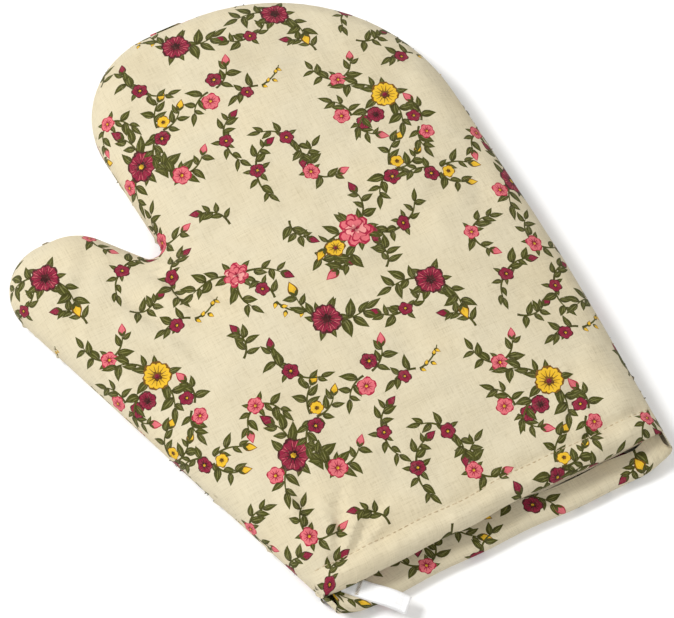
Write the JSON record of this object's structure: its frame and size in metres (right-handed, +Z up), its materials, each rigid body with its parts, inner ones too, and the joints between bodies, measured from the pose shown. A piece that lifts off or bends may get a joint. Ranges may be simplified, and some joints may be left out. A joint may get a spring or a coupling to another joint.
{
  "type": "oven mitt",
  "caption": "Padded oven mitt with a thumb, a hemmed open cuff and a tape hanging loop; quilted cotton panels over wadding, sewn round the edge.",
  "frame": {"origin": "on the resting back face, at the middle of the cuff mouth", "axes": "+Y along the mitt to the fingertips, +Z up out of the front panel, the thumb on the -X side"},
  "size_m": [0.2386, 0.3111, 0.026],
  "materials": {
    "printed_cotton": "matt plain weave with a small flower print",
    "wadding": "soft fibre",
    "lining_cotton": "matt plain weave",
    "sewing_thread": "spun thread",
    "cotton_tape": "matt twill tape"
  },
  "bodies": {
    "palm": {"front_shell_palm": "printed_cotton", "back_shell_palm": "printed_cotton", "front_wadding_palm": "wadding", "back_wadding_palm": "wadding", "front_lining_palm": "lining_cotton", "back_lining_palm": "lining_cotton", "seam_stitching_palm": "sewing_thread", "back_hem_stitching": "sewing_thread", "loop_sewn_end": "cotton_tape", "loop_bar_tack": "sewing_thread"},
    "cuff_front": {"front_shell_cuff": "printed_cotton", "front_wadding_cuff": "wadding", "front_lining_cuff": "lining_cotton", "front_hem_stitching": "sewing_thread"},
    "fingers": {"front_shell_fingers": "printed_cotton", "back_shell_fingers": "printed_cotton", "front_wadding_fingers": "wadding", "back_wadding_fingers": "wadding", "front_lining_fingers": "lining_cotton", "back_lining_fingers": "lining_cotton", "seam_stitching_fingers": "sewing_thread"},
    "thumb": {"front_shell_thumb": "printed_cotton", "back_shell_thumb": "printed_cotton", "front_wadding_thumb": "wadding", "back_wadding_thumb": "wadding", "front_lining_thumb": "lining_cotton", "back_lining_thumb": "lining_cotton", "seam_stitching_thumb": "sewing_thread"},
    "loop": {"hanging_loop": "cotton_tape"}
  },
  "joints": [
    {"name": "cuff_opens", "type": "hinge", "parent": "palm", "child": "cuff_front", "pos_m": [0, 0.095, 0.026], "axis": [-1, 0, 0], "range_deg": [0, 22]},
    {"name": "fingers_fold", "type": "hinge", "parent": "palm", "child": "fingers", "pos_m": [0, 0.197, 0.026], "axis": [1, 0, 0], "range_deg": [0, 70]},
    {"name": "thumb_folds", "type": "hinge", "parent": "palm", "child": "thumb", "pos_m": [-0.0995, 0.14218, 0.026], "axis": [0.5641, 0.8257, 0], "range_deg": [0, 60]},
    {"name": "loop_lifts", "type": "hinge", "parent": "palm", "child": "loop", "pos_m": [-0.06895, 0.00502, 0.00995], "axis": [-0.7193, -0.6947, 0], "range_deg": [0, 90]}
  ]
}
